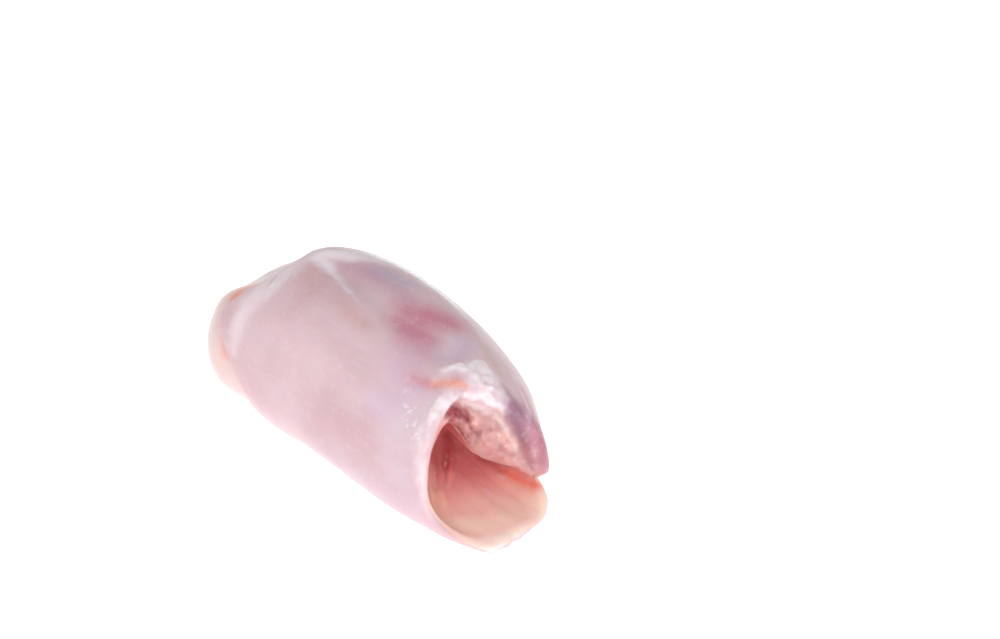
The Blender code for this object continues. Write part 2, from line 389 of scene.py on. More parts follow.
# What shows on the meat, from the lowest mark to the uppermost: on names the part of the surface it lies on.
# A stroke's points are x, y, z and half-width in the row frame. soft is how far its edge fades, ragged how
# far the edge wanders in broad and in fine waves, and rise how far it stands up. A mark without strokes
# covers the whole of its part.
marks = {
    # red patch on the crest, and the cooler and warmer tones round it
    "blush": {
        "on": "outside",
        "colour": "c4768c",
        "strength": 0.85,
        "soft": 4.5,
        "ragged": (0.5, 0.2),
        "rise": -0.1,
        "strokes": (
            ((4, 2, 38.4, 3.6), (8.5, 4, 37.4, 5.6), (12, 8, 35.6, 3.8)),
            ((6, -2, 37.8, 2.8), (11, -2, 37, 4.0), (15, -1, 36.2, 2.6)),
        ),
    },
    "rosy": {
        "on": "outside",
        "colour": "c4889c",
        "strength": 0.45,
        "soft": 4.0,
        "ragged": (0.6, 0.3),
        "rise": 0,
        "strokes": (
            (
                (9.6, -2.9, 37.3, 2.2), (13.3, -1.6, 36.6, 3.2), (16, -4, 35.8, 3.0),
                (19.5, -5, 34.9, 1.4),
            ),
        ),
    },
    "mauve": {
        "on": "outside",
        "colour": "bb94aa",
        "strength": 0.62,
        "soft": 3.8,
        "ragged": (0.8, 0.2),
        "rise": 0,
        "strokes": (
            (
                (-20, 0.6, 41, 1.4), (-16.5, 2.6, 41, 2.6), (-12, 4.6, 40.4, 3.6), (-6, 5, 39.8, 3.8),
                (-1, 5, 39, 2.2),
            ),
            ((-12, 24, 27, 2.0), (2, 25, 24, 3.0)),
        ),
    },
    "slate": {
        "on": "outside",
        "colour": "b8acc4",
        "strength": 0.6,
        "soft": 2.8,
        "ragged": (0.6, 0.2),
        "rise": 0,
        "strokes": (
            ((-14, 6.5, 40.2, 1.2), (-9, 8.5, 39.4, 2.2), (-4, 10, 38.3, 1.4)),
        ),
    },
    "violet": {
        "on": "outside",
        "colour": "b093b6",
        "strength": 0.6,
        "soft": 3.2,
        "ragged": (0.8, 0.3),
        "rise": 0,
        "strokes": (
            (
                (18.5, 8.4, 34.2, 1.2), (21, 4.7, 34.4, 1.6), (23.5, 1, 34.3, 1.2),
                (21.5, -2.6, 34.8, 0.8),
            ),
        ),
    },
    "orchid": {
        "on": "outside",
        "colour": "cba3c2",
        "strength": 0.5,
        "soft": 6.0,
        "ragged": (2.4, 0.6),
        "rise": 0,
        "strokes": (
            ((15, -9, 35.4, 2.5), (20, -11, 33.8, 3.5), (24, -14, 31.5, 3.5), (22, -19, 29, 3.5)),
        ),
    },
    "pearl": {
        "on": "outside",
        "colour": "ddcfdc",
        "strength": 0.6,
        "soft": 8.0,
        "ragged": (2.4, 0.6),
        "rise": 0,
        "strokes": (
            ((18, -19, 29, 1.0), (27, -18, 27.6, 4.0), (33, -22.6, 18, 4.5), (38, -23, 8, 4.0)),
            ((36, -22.6, 10, 3.0), (22, -25.6, 9, 2.0), (6, -26.6, 8, 1.0)),
            ((19, 6, 34.4, 1.5), (22, 1, 34.6, 1.5)),
        ),
    },
    "amber": {
        "on": "outside",
        "colour": "cc9a92",
        "strength": 0.5,
        "soft": 3.8,
        "ragged": (0.8, 0.3),
        "rise": 0,
        "strokes": (
            ((-10, -8.6, 39.8, 0.6), (-4, -10, 38.9, 1.6), (1.5, -9.8, 38, 1.0)),
            ((-24, -6.4, 40.8, 0.4), (-21, -10.5, 40, 1.2), (-18, -10, 40.2, 1.0)),
        ),
    },
    "flush": {
        "on": "outside",
        "colour": "c97f8c",
        "strength": 0.65,
        "soft": 2.4,
        "ragged": (1.0, 0.4),
        "rise": 0,
        "strokes": (
            ((22, -11, 33, 1.4), (25, -9.8, 32.8, 1.8), (27.4, -9, 32.2, 0.8)),
        ),
    },
    "tan": {
        "on": "outside",
        "colour": "cfb2ae",
        "strength": 0.7,
        "soft": 1.6,
        "ragged": (1.2, 0.6),
        "rise": 0.1,
        "strokes": (
            ((16.5, 12.6, 33.2, 0.6), (22, 10.8, 32.2, 1.5), (26, 10, 31, 2.0), (31, 9.2, 29, 1.2)),
            ((-22, 27, 9, 0.3), (-8, 27, 8, 1.4), (8, 26.4, 7.6, 1.0), (20, 23.6, 7, 0.4)),
        ),
    },
    # outer face of the flap beside the mouth: purple-pink, darker and greyer as painted shade, redder to the
    # right as painted warm reflected light, with a white streak
    # painted shade: the flap's purple-pink darkened and greyed
    "flap": {
        "on": "lip",
        "colour": "91607a",
        "strength": 0.9,
        "soft": 2.0,
        "ragged": (0.6, 0.3),
        "rise": 0,
        "strokes": (
            (
                (33.5, 7, 28.6, 0.8), (36.4, 6.2, 26, 1.9), (38, 6.8, 23, 2.8), (39, 7.2, 19.4, 2.9),
                (40, 7.6, 15.6, 2.4),
            ),
        ),
    },
    # painted warm reflected light and shade on the flap's right side
    "flapWarmReflection": {
        "on": "lip",
        "colour": "b0667a",
        "strength": 0.95,
        "soft": 3.2,
        "ragged": (0.8, 0.3),
        "rise": 0,
        "strokes": (
            (
                (33, 15, 24, 1.0), (36.5, 13.4, 22.4, 2.0), (40, 11.6, 20.5, 2.8),
                (43.2, 11.4, 15, 2.6), (44, 10.6, 9, 2.0),
            ),
            ((40.4, 7.8, 15, 1.6), (41.8, 8, 10, 2.6)),
        ),
    },
    "streak": {
        "on": "lip",
        "colour": "cdb4c8",
        "strength": 0.5,
        "soft": 0.9,
        "ragged": (0.4, 0.3),
        "rise": 0.15,
        "strokes": (
            (
                (31.6, 12.2, 26.1, 0.2), (34, 12, 24.6, 0.5), (37, 11, 23.6, 0.8), (39.7, 9.4, 22, 0.8),
                (41, 8.2, 19.2, 0.5),
            ),
            ((41, 8.2, 19.2, 0.5), (40.5, 7.5, 16, 0.1)),
            ((35, 14.1, 21.7, 0.0), (36.6, 14.8, 19, 0.3), (40.4, 13, 17.8, 0.1)),
        ),
    },
    # the inner layer's end at the closed end, behind the collar
    "plug": {"on": "plug", "colour": "e3cac6", "strength": 0.8},
    # painted reddish shade and orange glow, in the fold between the plug and the collar and low by the table
    "plugGlowAndShade": {
        "on": "plug",
        "colour": "ee8e68",
        "strength": 0.85,
        "soft": 2.4,
        "ragged": (1.3, 0.6),
        "rise": 0,
        "strokes": (
            (
                (-41.8, -12.9, 31.4, 1.0), (-42.5, -15.5, 30.6, 1.6), (-41, -19.4, 29.6, 1.6),
                (-38.6, -23, 28, 1.2),
            ),
            ((-38.6, -23, 28, 1.2), (-36.4, -25.8, 24, 0.6), (-36, -26, 18, 0.2)),
            ((-47, -23, 6, 1.0), (-40, -24, 3, 1.2), (-33, -25, 3, 0.8)),
        ),
    },
    # thin white film: a band along the crest, its forked strand, and the creased layer along the collar
    "film": {
        "on": "outside",
        "colour": "efe9f0",
        "strength": 0.8,
        "soft": 1.7,
        "ragged": (1.0, 0.4),
        "rise": 0.22,
        "strokes": (
            (
                (-28, -1, 41.2, 1.6), (-23, 4.6, 41.4, 2.6), (-20, 11, 39.6, 3.0), (-15, 15, 37.6, 2.8),
                (-10, 16, 36.8, 2.3), (-4, 16, 36.3, 1.8), (3, 15.8, 35.3, 1.2), (9, 15, 34.2, 0.4),
            ),
            (
                (-28, -2, 41.3, 1.6), (-22.5, -2.5, 40.8, 1.4), (-17.5, -3.6, 40.3, 1.0),
                (-12.5, -4.9, 40.1, 0.6), (-9, -5.5, 39.8, 0.35), (-5, -6, 39.4, -0.3),
                (2.4, -6.9, 38.3, -1.2),
            ),
        ),
    },
    "haze": {
        "on": "outside",
        "colour": "eadfe4",
        "strength": 0.66,
        "soft": 2.4,
        "ragged": (1.2, 0.7),
        "rise": 0.12,
        "strokes": (
            (
                (-29, -3, 41, 1.6), (-30, -7, 40.2, 2.8), (-30, -12, 38.8, 4.0),
                (-30.5, -17, 36.2, 4.4), (-31.5, -20.5, 33.4, 3.6), (-32, -23.5, 29.5, 2.2),
                (-30.5, -26, 23, 1.0),
            ),
            ((-37, -4, 37.6, 2.0), (-38, -12, 35.8, 2.4), (-38, -17, 33.6, 1.6)),
            (
                (33, -18, 26.5, 0.4), (35, -20, 23.8, 1.2), (37, -21.4, 21, 1.5),
                (39, -22.4, 18.2, 1.2), (41, -23.2, 14, 0.6),
            ),
            ((-14, 25.6, 22, 0.2), (-4, 26, 18, 1.0), (6, 25.6, 16, 0.4)),
        ),
    },
    # painted shade: dark lines in small creases of the film, which the relief also sinks
    "creaseShade": {
        "on": "outside",
        "colour": "9a5c66",
        "strength": 0.4,
        "soft": 0.7,
        "ragged": (0.3, 0.3),
        "rise": -0.25,
        "strokes": (
            ((-31.4, -11.6, 38.4, 0.0), (-30.6, -14.2, 37.4, 0.25), (-30, -16.4, 36.4, 0.0)),
            ((-27.6, -9, 40, -0.1), (-26.6, -11, 39.5, 0.1), (-25.4, -13.6, 38.7, -0.1)),
        ),
    },
    # creamy fat round the top of the mouth and down its left rim
    "fatSoft": {
        "on": "outside",
        "colour": "e6d5dc",
        "strength": 0.8,
        "soft": 2.2,
        "ragged": (1.4, 0.7),
        "rise": 0.25,
        "strokes": (
            (
                (25, -5, 33.9, 0.6), (26.5, 0, 33.6, 2.0), (27, 4.6, 32.6, 2.2), (31, 5.4, 30.6, 2.6),
                (35, 4.6, 27.4, 1.8),
            ),
            ((31, 0, 31.6, 2.2), (34, 1.4, 28.4, 2.2), (36, 3.6, 25.6, 1.2)),
            ((31.4, -7.6, 30, 1.4), (32, -12, 29, 1.7), (34, -16.4, 26.6, 1.5), (36, -19, 23.4, 1.0)),
            ((38, -21, 20.6, 1.2), (40.6, -22.6, 15.6, 1.2), (43.4, -22.4, 10, 0.8)),
        ),
    },
    "fat": {
        "on": "outside",
        "colour": "ece1e6",
        "strength": 0.8,
        "soft": 1.1,
        "ragged": (0.9, 0.9),
        "rise": 0.45,
        "strokes": (
            (
                (25, -4.8, 33.9, 0.4), (25.6, -2.6, 34, 0.9), (27, -0.4, 33.5, 1.3),
                (27.4, 2.6, 32.8, 1.5), (26.6, 5.6, 32.2, 1.1),
            ),
            (
                (27.4, 2.6, 32.8, 1.5), (29.2, 5.2, 31, 1.5), (31.6, 4.4, 30.2, 1.2),
                (33, 3.4, 29.2, 0.8),
            ),
            (
                (29.6, 0.6, 32.4, 0.7), (31.6, 1.2, 30.8, 0.9), (33.4, 0.4, 28.8, 1.1),
                (35, 2.2, 26.8, 1.0), (36, 3.8, 24.6, 0.5),
            ),
            (
                (32.6, -1.6, 28.6, 0.8), (31.8, -4.8, 29.8, 0.7), (31.6, -8, 30.2, 0.8),
                (32, -11.6, 29.4, 1.0),
            ),
            ((32, -11.6, 29.4, 1.0), (33.2, -15, 27.6, 0.6), (34.8, -17.6, 25.4, 0.2)),
        ),
    },
    "ember": {
        "on": "outside",
        "colour": "eb9474",
        "strength": 0.8,
        "soft": 1.5,
        "ragged": (0.5, 0.4),
        "rise": -0.1,
        "strokes": (
            (
                (26, -9.3, 32.4, 0.2), (27.4, -8, 32.5, 0.7), (29, -6, 32.7, 0.8),
                (30, -4.2, 32.4, 0.7), (31, -2.8, 31.6, 0.2),
            ),
        ),
    },
    # the cut face under the flap, and its thin white edge
    "cream": {"on": "cutMeat", "colour": "cb9694", "strength": 1.0},
    # pale fat granules on the tops of the cut face's bulges, partly painted highlights
    "granulesAndGlints": {"on": "bulgeTops", "colour": "f0cbbf", "strength": 0.4},
    "cutShade": {
        "on": "cutMeat",
        "colour": "c98484",
        "strength": 0.6,
        "soft": 1.8,
        "ragged": (0.8, 0.6),
        "rise": -0.1,
        "strokes": (
            ((33.8, -0.8, 21.5, 0.6), (35, 0.2, 19.4, 1.0), (35.4, -0.6, 16.6, 1.4)),
            ((35.4, -0.6, 16.6, 1.4), (36.8, 1.4, 13, 1.8), (38.6, 4, 10.8, 1.6), (39.8, 6, 8.8, 0.8)),
        ),
    },
    # dark red wet blood, carried down along the cut face's lower left edge as painted shade in the gap under
    # it
    "goreAndShade": {
        "on": "cutMeat",
        "colour": "9c2c3a",
        "strength": 1.0,
        "soft": 1.5,
        "ragged": (0.7, 0.8),
        "rise": -0.4,
        "strokes": (
            (
                (32.4, -9.6, 27.2, 1.2), (31.4, -6.4, 25.8, 1.6), (31.6, -4.2, 24.6, 1.2),
                (32.6, -3, 22, 0.8), (33.6, -2.2, 19.8, 0.3),
            ),
            (
                (32.4, -8.6, 24.2, 1.4), (31.8, -6, 21.2, 1.5), (31.6, -4.4, 18.8, 1.0),
                (32, -3, 16.6, 0.3),
            ),
        ),
    },
    "dot": {
        "on": "cutMeat",
        "colour": "d4505c",
        "strength": 0.8,
        "soft": 0.5,
        "ragged": (0.2, 0.3),
        "rise": 0.1,
        "strokes": (
            ((37.4, 4, 17.2, 0.4), (38, 4.8, 16.4, 0.4)),
            ((36.9, 3.2, 18.2, 0.0), (37, 3.6, 17.6, 0.1)),
        ),
    },
    "lipEdge": {
        "on": "lip",
        "colour": "f6ecec",
        "strength": 0.45,
        "soft": 1.1,
        "ragged": (0.2, 0.2),
        "rise": 0.1,
        "strokes": (
            ((31.6, -3.4, 27.6, 0.5), (32.8, -1.2, 26, 0.8), (34.2, 1, 24.8, 0.9), (35.8, 3, 23, 0.8)),
            (
                (35.8, 3, 23, 0.8), (37.5, 4.2, 19.6, 0.7), (38.5, 5, 16.6, 0.6), (39.5, 6, 12.4, 0.5),
                (40.6, 6.8, 9, 0.4),
            ),
        ),
    },
    # inside the pocket: redder on its left wall, peach and cream on the flange, painted orange glow under the
    # flap's tip
    "wine": {
        "on": "pocket",
        "colour": "bf5450",
        "strength": 0.85,
        "soft": 1.8,
        "ragged": (0.8, 0.5),
        "rise": 0,
        "strokes": (
            ((16, 3.3, 7.1, 0.8), (20, 1, 5.8, 1.3), (24, -3, 5, 1.4)),
            (
                (33.6, -12, 24.6, 0.8), (35.4, -15.6, 23.4, 1.2), (36.4, -17.5, 21.8, 1.3),
                (37.2, -18.6, 20, 0.8),
            ),
            ((26, 6.7, 4.6, 0.6), (31.5, 7.5, 3.7, 0.5)),
        ),
    },
    "rust": {
        "on": "pocket",
        "colour": "f0a484",
        "strength": 0.7,
        "soft": 1.6,
        "ragged": (0.8, 0.5),
        "rise": 0,
        "strokes": (
            ((40, -20.4, 17, 0.8), (41.2, -20.8, 14, 1.2), (41.6, -20, 10, 1.0)),
        ),
    },
    # pale tan on the rim's inner wall, lightened as painted light where the rim shades it
    "rimTanLight": {
        "on": "pocket",
        "colour": "fcd8c6",
        "strength": 0.9,
        "soft": 1.8,
        "ragged": (0.6, 0.4),
        "rise": 0,
        "strokes": (
            (
                (37.6, -19.4, 20.2, 0.3), (39.4, -20.8, 17, 1.2), (40.8, -21.4, 13, 1.6),
                (42, -21, 9, 1.6), (43.6, -19, 5.4, 1.2),
            ),
            (
                (20.5, -7, 6.8, 0.6), (24.5, -9.4, 5, 1.6), (28.5, -11.4, 4, 2.0),
                (32.5, -13.6, 3.2, 2.2), (37, -16, 3, 2.0),
            ),
        ),
    },
    # wet folds of muscle along the lower left wall, and a shred of white membrane on them
    "fold": {
        "on": "pocket",
        "colour": "d98480",
        "strength": 0.35,
        "soft": 1.0,
        "ragged": (0.25, 0.15),
        "rise": 1.0,
        "strokes": (
            (
                (14, 4.4, 7.6, 0.0), (18.8, 1.9, 6, 0.5), (22.4, -0.6, 5, 0.8), (26, -4, 4, 0.8),
                (29.6, -7.4, 3.6, 0.0),
            ),
            (
                (18, -0.8, 6.4, 0.0), (22, -3.8, 5, 0.6), (26, -7, 4, 0.9), (30, -10, 3.4, 0.7),
                (34, -12, 3, -0.3),
            ),
            ((21, -7.6, 6.4, -0.2), (26, -11, 5, 0.5), (31, -14, 4, 0.4), (35, -16, 3.6, -0.4)),
        ),
    },
    "membrane": {
        "on": "pocket",
        "colour": "f6dcd8",
        "strength": 0.8,
        "soft": 0.5,
        "ragged": (0.3, 0.4),
        "rise": 0.2,
        "strokes": (
            ((23.6, -6.6, 5.6, 0.0), (26, -8.6, 5, 0.4), (28.4, -10.2, 4.2, 0.2)),
            ((19, 0.6, 6.6, 0.0), (21.6, -1.4, 6, 0.2), (24, -3.6, 5.2, 0.0)),
        ),
    },
    # painted light: the flange's low left side lightened to peach where the rim shades it
    "peach": {
        "on": "pocket",
        "colour": "fde2d0",
        "strength": 0.8,
        "soft": 2.6,
        "ragged": (0.8, 0.3),
        "rise": 0,
        "strokes": (
            (
                (42, -21.6, 9, 0.8), (41.6, -19.4, 5.6, 2.0), (41.6, -15, 3.2, 2.6),
                (44.6, -10, 2.4, 2.4), (47, -4, 1.8, 1.6),
            ),
            ((38, -19.6, 9, 0.4), (38, -16.4, 5, 1.6)),
        ),
    },
    # painted glow: orange where light shines through the thin flange in the shade under the flap's tip
    "paintedGlow": {
        "on": "pocket",
        "colour": "f06c42",
        "strength": 0.9,
        "soft": 2.2,
        "ragged": (0.6, 0.3),
        "rise": 0,
        "strokes": (
            (
                (33, 8, 3.8, 0.2), (37.8, 8.6, 3.6, 0.8), (42, 9.2, 3.6, 1.2), (43.8, 10.6, 5.4, 1.2),
                (44.7, 11.2, 9.3, 0.6),
            ),
        ),
    },
    # painted highlights: soft whitish reflections on the wet floor of the pocket
    "paintedSheen": {
        "on": "pocket",
        "colour": "ecd2e0",
        "strength": 0.6,
        "soft": 0.6,
        "ragged": (0.3, 0.4),
        "rise": 0.1,
        "strokes": (
            ((26.4, 3.4, 3.9, 0.1), (28.4, 3.9, 3.4, 0.4)),
            ((32.2, 6.3, 3.2, 0.1), (34.2, 6.7, 3, 0.3)),
            ((31, 0, 3, 0.0), (36, 1, 2.4, 0.2)),
        ),
    },
    "beige": {
        "on": "pocket",
        "colour": "ecdcd4",
        "strength": 0.8,
        "soft": 2.2,
        "ragged": (0.8, 0.4),
        "rise": 0,
        "strokes": (
            (
                (43, -22.4, 12, 0.0), (46, -20, 5.7, 0.8), (49, -16.6, 3, 1.6), (52, -13, 2.2, 1.8),
                (53.4, -9, 2.4, 1.4),
            ),
            (
                (53.4, -9, 2.4, 1.4), (52.8, -5, 2, 1.0), (52, 0, 1.5, 0.8), (51, 4, 1.2, 0.6),
                (49.3, 8, 2, 0.4),
            ),
        ),
    },
    "tip": {
        "on": "pocket",
        "colour": "f6f0f1",
        "strength": 0.95,
        "soft": 1.3,
        "ragged": (0.4, 0.3),
        "rise": 0,
        "strokes": (
            (
                (52.4, -15.4, 1.6, 0.4), (54.6, -13.6, 1.6, 1.4), (55.4, -11.6, 1.8, 1.4),
                (54.6, -9.4, 1.8, 0.6),
            ),
        ),
    },
}

# Sizes of the noise that shapes and breaks up the surface, and how high the relief made from it stands: fat
# is the lumpy fat, cut the knobbly cut face, and ripple the fine waves beside the left rim, so far behind it
# and over such a width. scuffed are the two scratched places.
skin = {
    "sizes": {"wander": 7, "ragged": 2.2, "broad": 26, "lumps": 2.4, "fine": 1.1, "bulges": 5, "folds": 6},
    "broad": 0.22,
    "wander": 0.10,
    "fatLumps": 0.7,
    "fatGrain": 0.12,
    "cutSwell": 1.2,
    "cutBulges": 1.3,
    "cutLumps": 0.35,
    "cutRagged": 0.3,
    "cutGrain": 0.1,
    "goreGrain": 0.4,
    "pocketFolds": 0.3,
    "ripple": 0.10,
    "rippleLength": 1.7,
    "rippleBehind": 3.5,
    "rippleWidth": 2.2,
    "scuffed": (
        ((24, -14.5, 30.6, 1), (29, -18, 27, 2.5), (33, -19.4, 24.6, 1.5)),
        ((-30, -12, 38.6, 1), (-28, -18, 35.6, 1.5)),
    ),
}


def surfaceNoise(points):
    size = skin["sizes"]
    return {
        "wander": noiseField(points, size["wander"], 1, 3),
        "ragged": noiseField(points, size["ragged"], 2, 3),
        "broad": noiseField(points, size["broad"], 3, 2),
        "lumps": lumpField(points, size["lumps"], 4),
        "fine": noiseField(points, size["fine"], 5, 2),
        "bulges": lumpField(points, size["bulges"], 8),
        "folds": noiseField(points, size["folds"], 6, 2, stretch=(2.5, 1, 1)),
    }


def partsOfSurface(points, spots, bulges):
    # the parts that marks lie on, each 1 inside it and 0 outside
    zone, degrees = spots["zone"], spots["degrees"]
    outside = 1 - smoothStep(zone, 0.3, 0.55)
    lipToPocket = smoothStep(zone, 0.42, 0.55) * (1 - smoothStep(zone, 1.5, 2.02))
    underFlap = np.maximum(1 - smoothStep(degrees, 98, 112), smoothStep(degrees, 338, 350))
    cutMeat = lipToPocket * underFlap
    leftRim = smoothStep(degrees, 112, 130) * (1 - smoothStep(degrees, 195, 215))
    outside = outside + (1 - smoothStep(zone, 0.5, 1.1) - outside) * leftRim
    nearSide = smoothStep(-points[..., 1], 0, 12)
    return {
        "outside": outside,
        "plug": outside * smoothStep(spots["collar"], 0.6, 2.2) * nearSide,
        "bulgeTops": cutMeat * smoothStep(bulges, 0.3, 0.7),
        "cutMeat": cutMeat,
        "lip": 1 - smoothStep(zone, 0.6, 0.75),
        "pocket": np.clip(1 - outside - cutMeat, 0, 1),
    }


def dressRoll(points, spots):
    # relief in millimetres along the normal, and the masks that the material and the drops read
    noises = surfaceNoise(points)
    wander, ragged, lumps, fine, bulges = (noises[k] for k in ("wander", "ragged", "lumps", "fine", "bulges"))
    parts = partsOfSurface(points, spots, bulges)
    zone, degrees = spots["zone"], spots["degrees"]
    masks = {"pocket": parts["pocket"], "inward": np.clip((54 - points[..., 0]) / 40, 0, 1)}
    relief = skin["broad"] * noises["broad"] + skin["wander"] * wander * parts["outside"]
    for name, mark in marks.items():
        masks[name] = parts[mark["on"]]
        if "strokes" in mark:
            gap = np.min([strokeDistance(points, stroke) for stroke in mark["strokes"]], axis=0)
            gap = gap + wander * mark["ragged"][0] + ragged * mark["ragged"][1]
            masks[name] = (1 - smoothStep(gap, -mark["soft"], mark["soft"])) * masks[name]
            relief = relief + masks[name] * mark["rise"]
    fatty = np.maximum(masks["fat"], 0.5 * masks["fatSoft"])
    relief = relief + fatty * (skin["fatLumps"] * (lumps - 0.45) + skin["fatGrain"] * fine)
    swell = np.sin(np.pi * np.clip(zone - 0.5, 0, 1))
    knobs = skin["cutSwell"] + skin["cutBulges"] * (bulges - 0.4) + skin["cutLumps"] * (lumps - 0.4)
    knobs = knobs + skin["cutRagged"] * ragged + skin["cutGrain"] * fine
    relief = relief + parts["cutMeat"] * swell * knobs
    relief = relief + masks["goreAndShade"] * skin["goreGrain"] * fine
    relief = relief + parts["pocket"] * smoothStep(zone, 2.02, 2.3) * skin["pocketFolds"] * noises["folds"]
    ripple = np.sin(spots["x"] * 2 * np.pi / skin["rippleLength"] + 4 * wander)
    ripple = ripple * bell(spots["depth"] - skin["rippleBehind"], skin["rippleWidth"])
    upperLeftRim = smoothStep(degrees, 105, 125) * (1 - smoothStep(degrees, 165, 180))
    relief = relief + skin["ripple"] * ripple * parts["outside"] * upperLeftRim
    wet = drops["anywhere"] + sum(amount * masks[name] for name, amount in drops["on"])
    masks["wet"] = wet * smoothStep(points[..., 2], 1.5, 3)
    scuffed = np.min([strokeDistance(points, stroke) for stroke in skin["scuffed"]], axis=0)
    masks["scuffs"] = 1 - smoothStep(scuffed, -1.5, 1.5)
    glossy = masks["goreAndShade"] + masks["film"] + masks["fat"] + parts["cutMeat"] + parts["pocket"]
    masks["glossy"] = np.clip(glossy, 0, 1)
    return relief, masks


def buildMeat():
    points, poles, spots = rollGrid()
    relief, masks = dressRoll(points, spots)
    relief[:4] *= np.linspace(0.1, 0.8, 4)[:, None]  # calm round each pole
    relief[-4:] *= np.linspace(0.8, 0.1, 4)[:, None]
    points = points + gridNormals(points) * relief[..., None]
    points[..., 2] = np.maximum(points[..., 2], 0)  # nothing goes below the table
    return meshFromGrid("rawMeat", points, poles, masks)


# Nodes


def addNode(tree, kind, inputs=None, **settings):
    made = tree.nodes.new(kind)
    for key, value in settings.items():
        setattr(made, key, value)
    for socket, value in (inputs or {}).items():
        if isinstance(value, bpy.types.NodeSocket):
            tree.links.new(value, made.inputs[socket])
        else:
            made.inputs[socket].default_value = value
    return made


# Drops of juice, strewn over the surface by Geometry Nodes

# how many to a square millimetre where the wet attribute is 1, their radius, how flat they are and their
# seed; then how wet the meat is anywhere, and how much wetter on each mark
drops = {
    "density": 0.3,
    "smallest": 0.12,
    "largest": 0.32,
    "flatness": 0.55,
    "seed": 7,
    "anywhere": 0.003,
    "on": (("goreAndShade", 3.0), ("fat", 0.12), ("cream", 0.15)),
}


def dropTree():
    # small round drops over a mesh, thickest where its wet attribute is high
    tree = bpy.data.node_groups.new("dropsOnSurface", "GeometryNodeTree")
    tree.interface.new_socket(name="Geometry", in_out="OUTPUT", socket_type="NodeSocketGeometry")
    inputs = {"Geometry": "Geometry", "Density": "Float", "Smallest": "Float", "Largest": "Float"}
    inputs.update({"Flatness": "Float", "Seed": "Int", "Material": "Material"})
    for title, kind in inputs.items():
        tree.interface.new_socket(name=title, in_out="INPUT", socket_type="NodeSocket" + kind)
    given = addNode(tree, "NodeGroupInput").outputs
    wet = addNode(tree, "GeometryNodeInputNamedAttribute", {"Name": "wet"}, data_type="FLOAT").outputs[0]
    density = addNode(tree, "ShaderNodeMath", {0: wet, 1: given["Density"]}, operation="MULTIPLY").outputs[0]
    spread = {"Mesh": given["Geometry"], "Density": density, "Seed": given["Seed"]}
    spots = addNode(tree, "GeometryNodeDistributePointsOnFaces", spread, distribute_method="RANDOM").outputs
    size = {2: given["Smallest"], 3: given["Largest"], "Seed": given["Seed"]}
    radius = addNode(tree, "FunctionNodeRandomValue", size, data_type="FLOAT").outputs[1]
    shape = addNode(tree, "ShaderNodeCombineXYZ", {"X": 1.0, "Y": 1.0, "Z": given["Flatness"]}).outputs[0]
    sized = addNode(tree, "ShaderNodeVectorMath", {0: shape, "Scale": radius}, operation="SCALE").outputs[0]
    drop = addNode(tree, "GeometryNodeMeshIcoSphere", {"Radius": 1.0, "Subdivisions": 3}).outputs[0]
    placed = {"Points": spots["Points"], "Instance": drop, "Rotation": spots["Rotation"], "Scale": sized}
    strewn = addNode(tree, "GeometryNodeInstanceOnPoints", placed).outputs[0]
    realized = addNode(tree, "GeometryNodeRealizeInstances", {0: strewn}).outputs[0]
    smooth = addNode(tree, "GeometryNodeSetShadeSmooth", {"Geometry": realized}).outputs[0]
    painting = {"Geometry": smooth, "Material": given["Material"]}
    addNode(tree, "NodeGroupOutput", {0: addNode(tree, "GeometryNodeSetMaterial", painting).outputs[0]})
    return tree


def buildDrops(meat, material):
    piece = bpy.data.objects.new("juiceBeads", meat.data.copy())
    bpy.context.scene.collection.objects.link(piece)
    tree = dropTree()
    modifier = piece.modifiers.new(tree.name, "NODES")
    modifier.node_group = tree
    values = {"Density": drops["density"] / mm**2, "Seed": drops["seed"], "Flatness": drops["flatness"]}
    values.update({"Smallest": drops["smallest"] * mm, "Largest": drops["largest"] * mm})
    values["Material"] = material
    for item in tree.interface.items_tree:
        if item.in_out == "INPUT" and item.name in values:
            modifier[item.identifier] = values[item.name]
    graph = bpy.context.evaluated_depsgraph_get()
    made = bpy.data.meshes.new_from_object(piece.evaluated_get(graph))
    piece.modifiers.clear()
    piece.data = made
    return piece


# Materials

# Colours of the outside (pale and pink) and of the pocket (peach at its mouth, then salmon, then deep, a red
# that darkens inward partly as the meat's own colour and partly as painted shade of the recess).
# depth is how far light soaks in. A mottle is its size, detail, roughness and the scale of each axis; real
# fibre bundles and scratches are finer than these, which are drawn as coarse as they need to show.
meatLook = {
    "pale": "d6bbc1",
    "pink": "cfaeb5",
    "fibre": "f3e4e8",
    "scratch": "f6eff3",
    "peach": "f9dccf",
    "salmon": "fbd2c8",
    "deep": "e49090",
    "gloss": 0.34,
    "depth": 3.5,
    "mottles": {
        "broad": (24, 2, 0.5, (1, 1, 1)),
        "middle": (6, 3, 0.5, (1, 1, 1)),
        "fine": (1.6, 3, 0.6, (1, 1, 1)),
        "fibres": (1.3, 2, 0.5, (0.12, 1, 1)),
        "scratches": (1.1, 1, 0.5, (1, 1, 0.22)),
    },
    # a mark whose edge is softer than this isn't broken up by the fine mottle
    "crispBelow": 1.5,
}


def tint(tree, under, over, pattern, low, high, strengths=(0.0, 1.0), within=None):
    # one colour over another, from the first strength to the second as the pattern goes from low to high
    ranges = {"Value": pattern, "From Min": low, "From Max": high}
    ranges.update({"To Min": strengths[0], "To Max": strengths[1]})
    amount = addNode(tree, "ShaderNodeMapRange", ranges, interpolation_type="SMOOTHSTEP").outputs["Result"]
    if within is not None:
        amount = addNode(tree, "ShaderNodeMath", {0: amount, 1: within}, operation="MULTIPLY").outputs[0]
    return addNode(tree, "ShaderNodeMix", {0: amount, 6: under, 7: over}, data_type="RGBA").outputs[2]


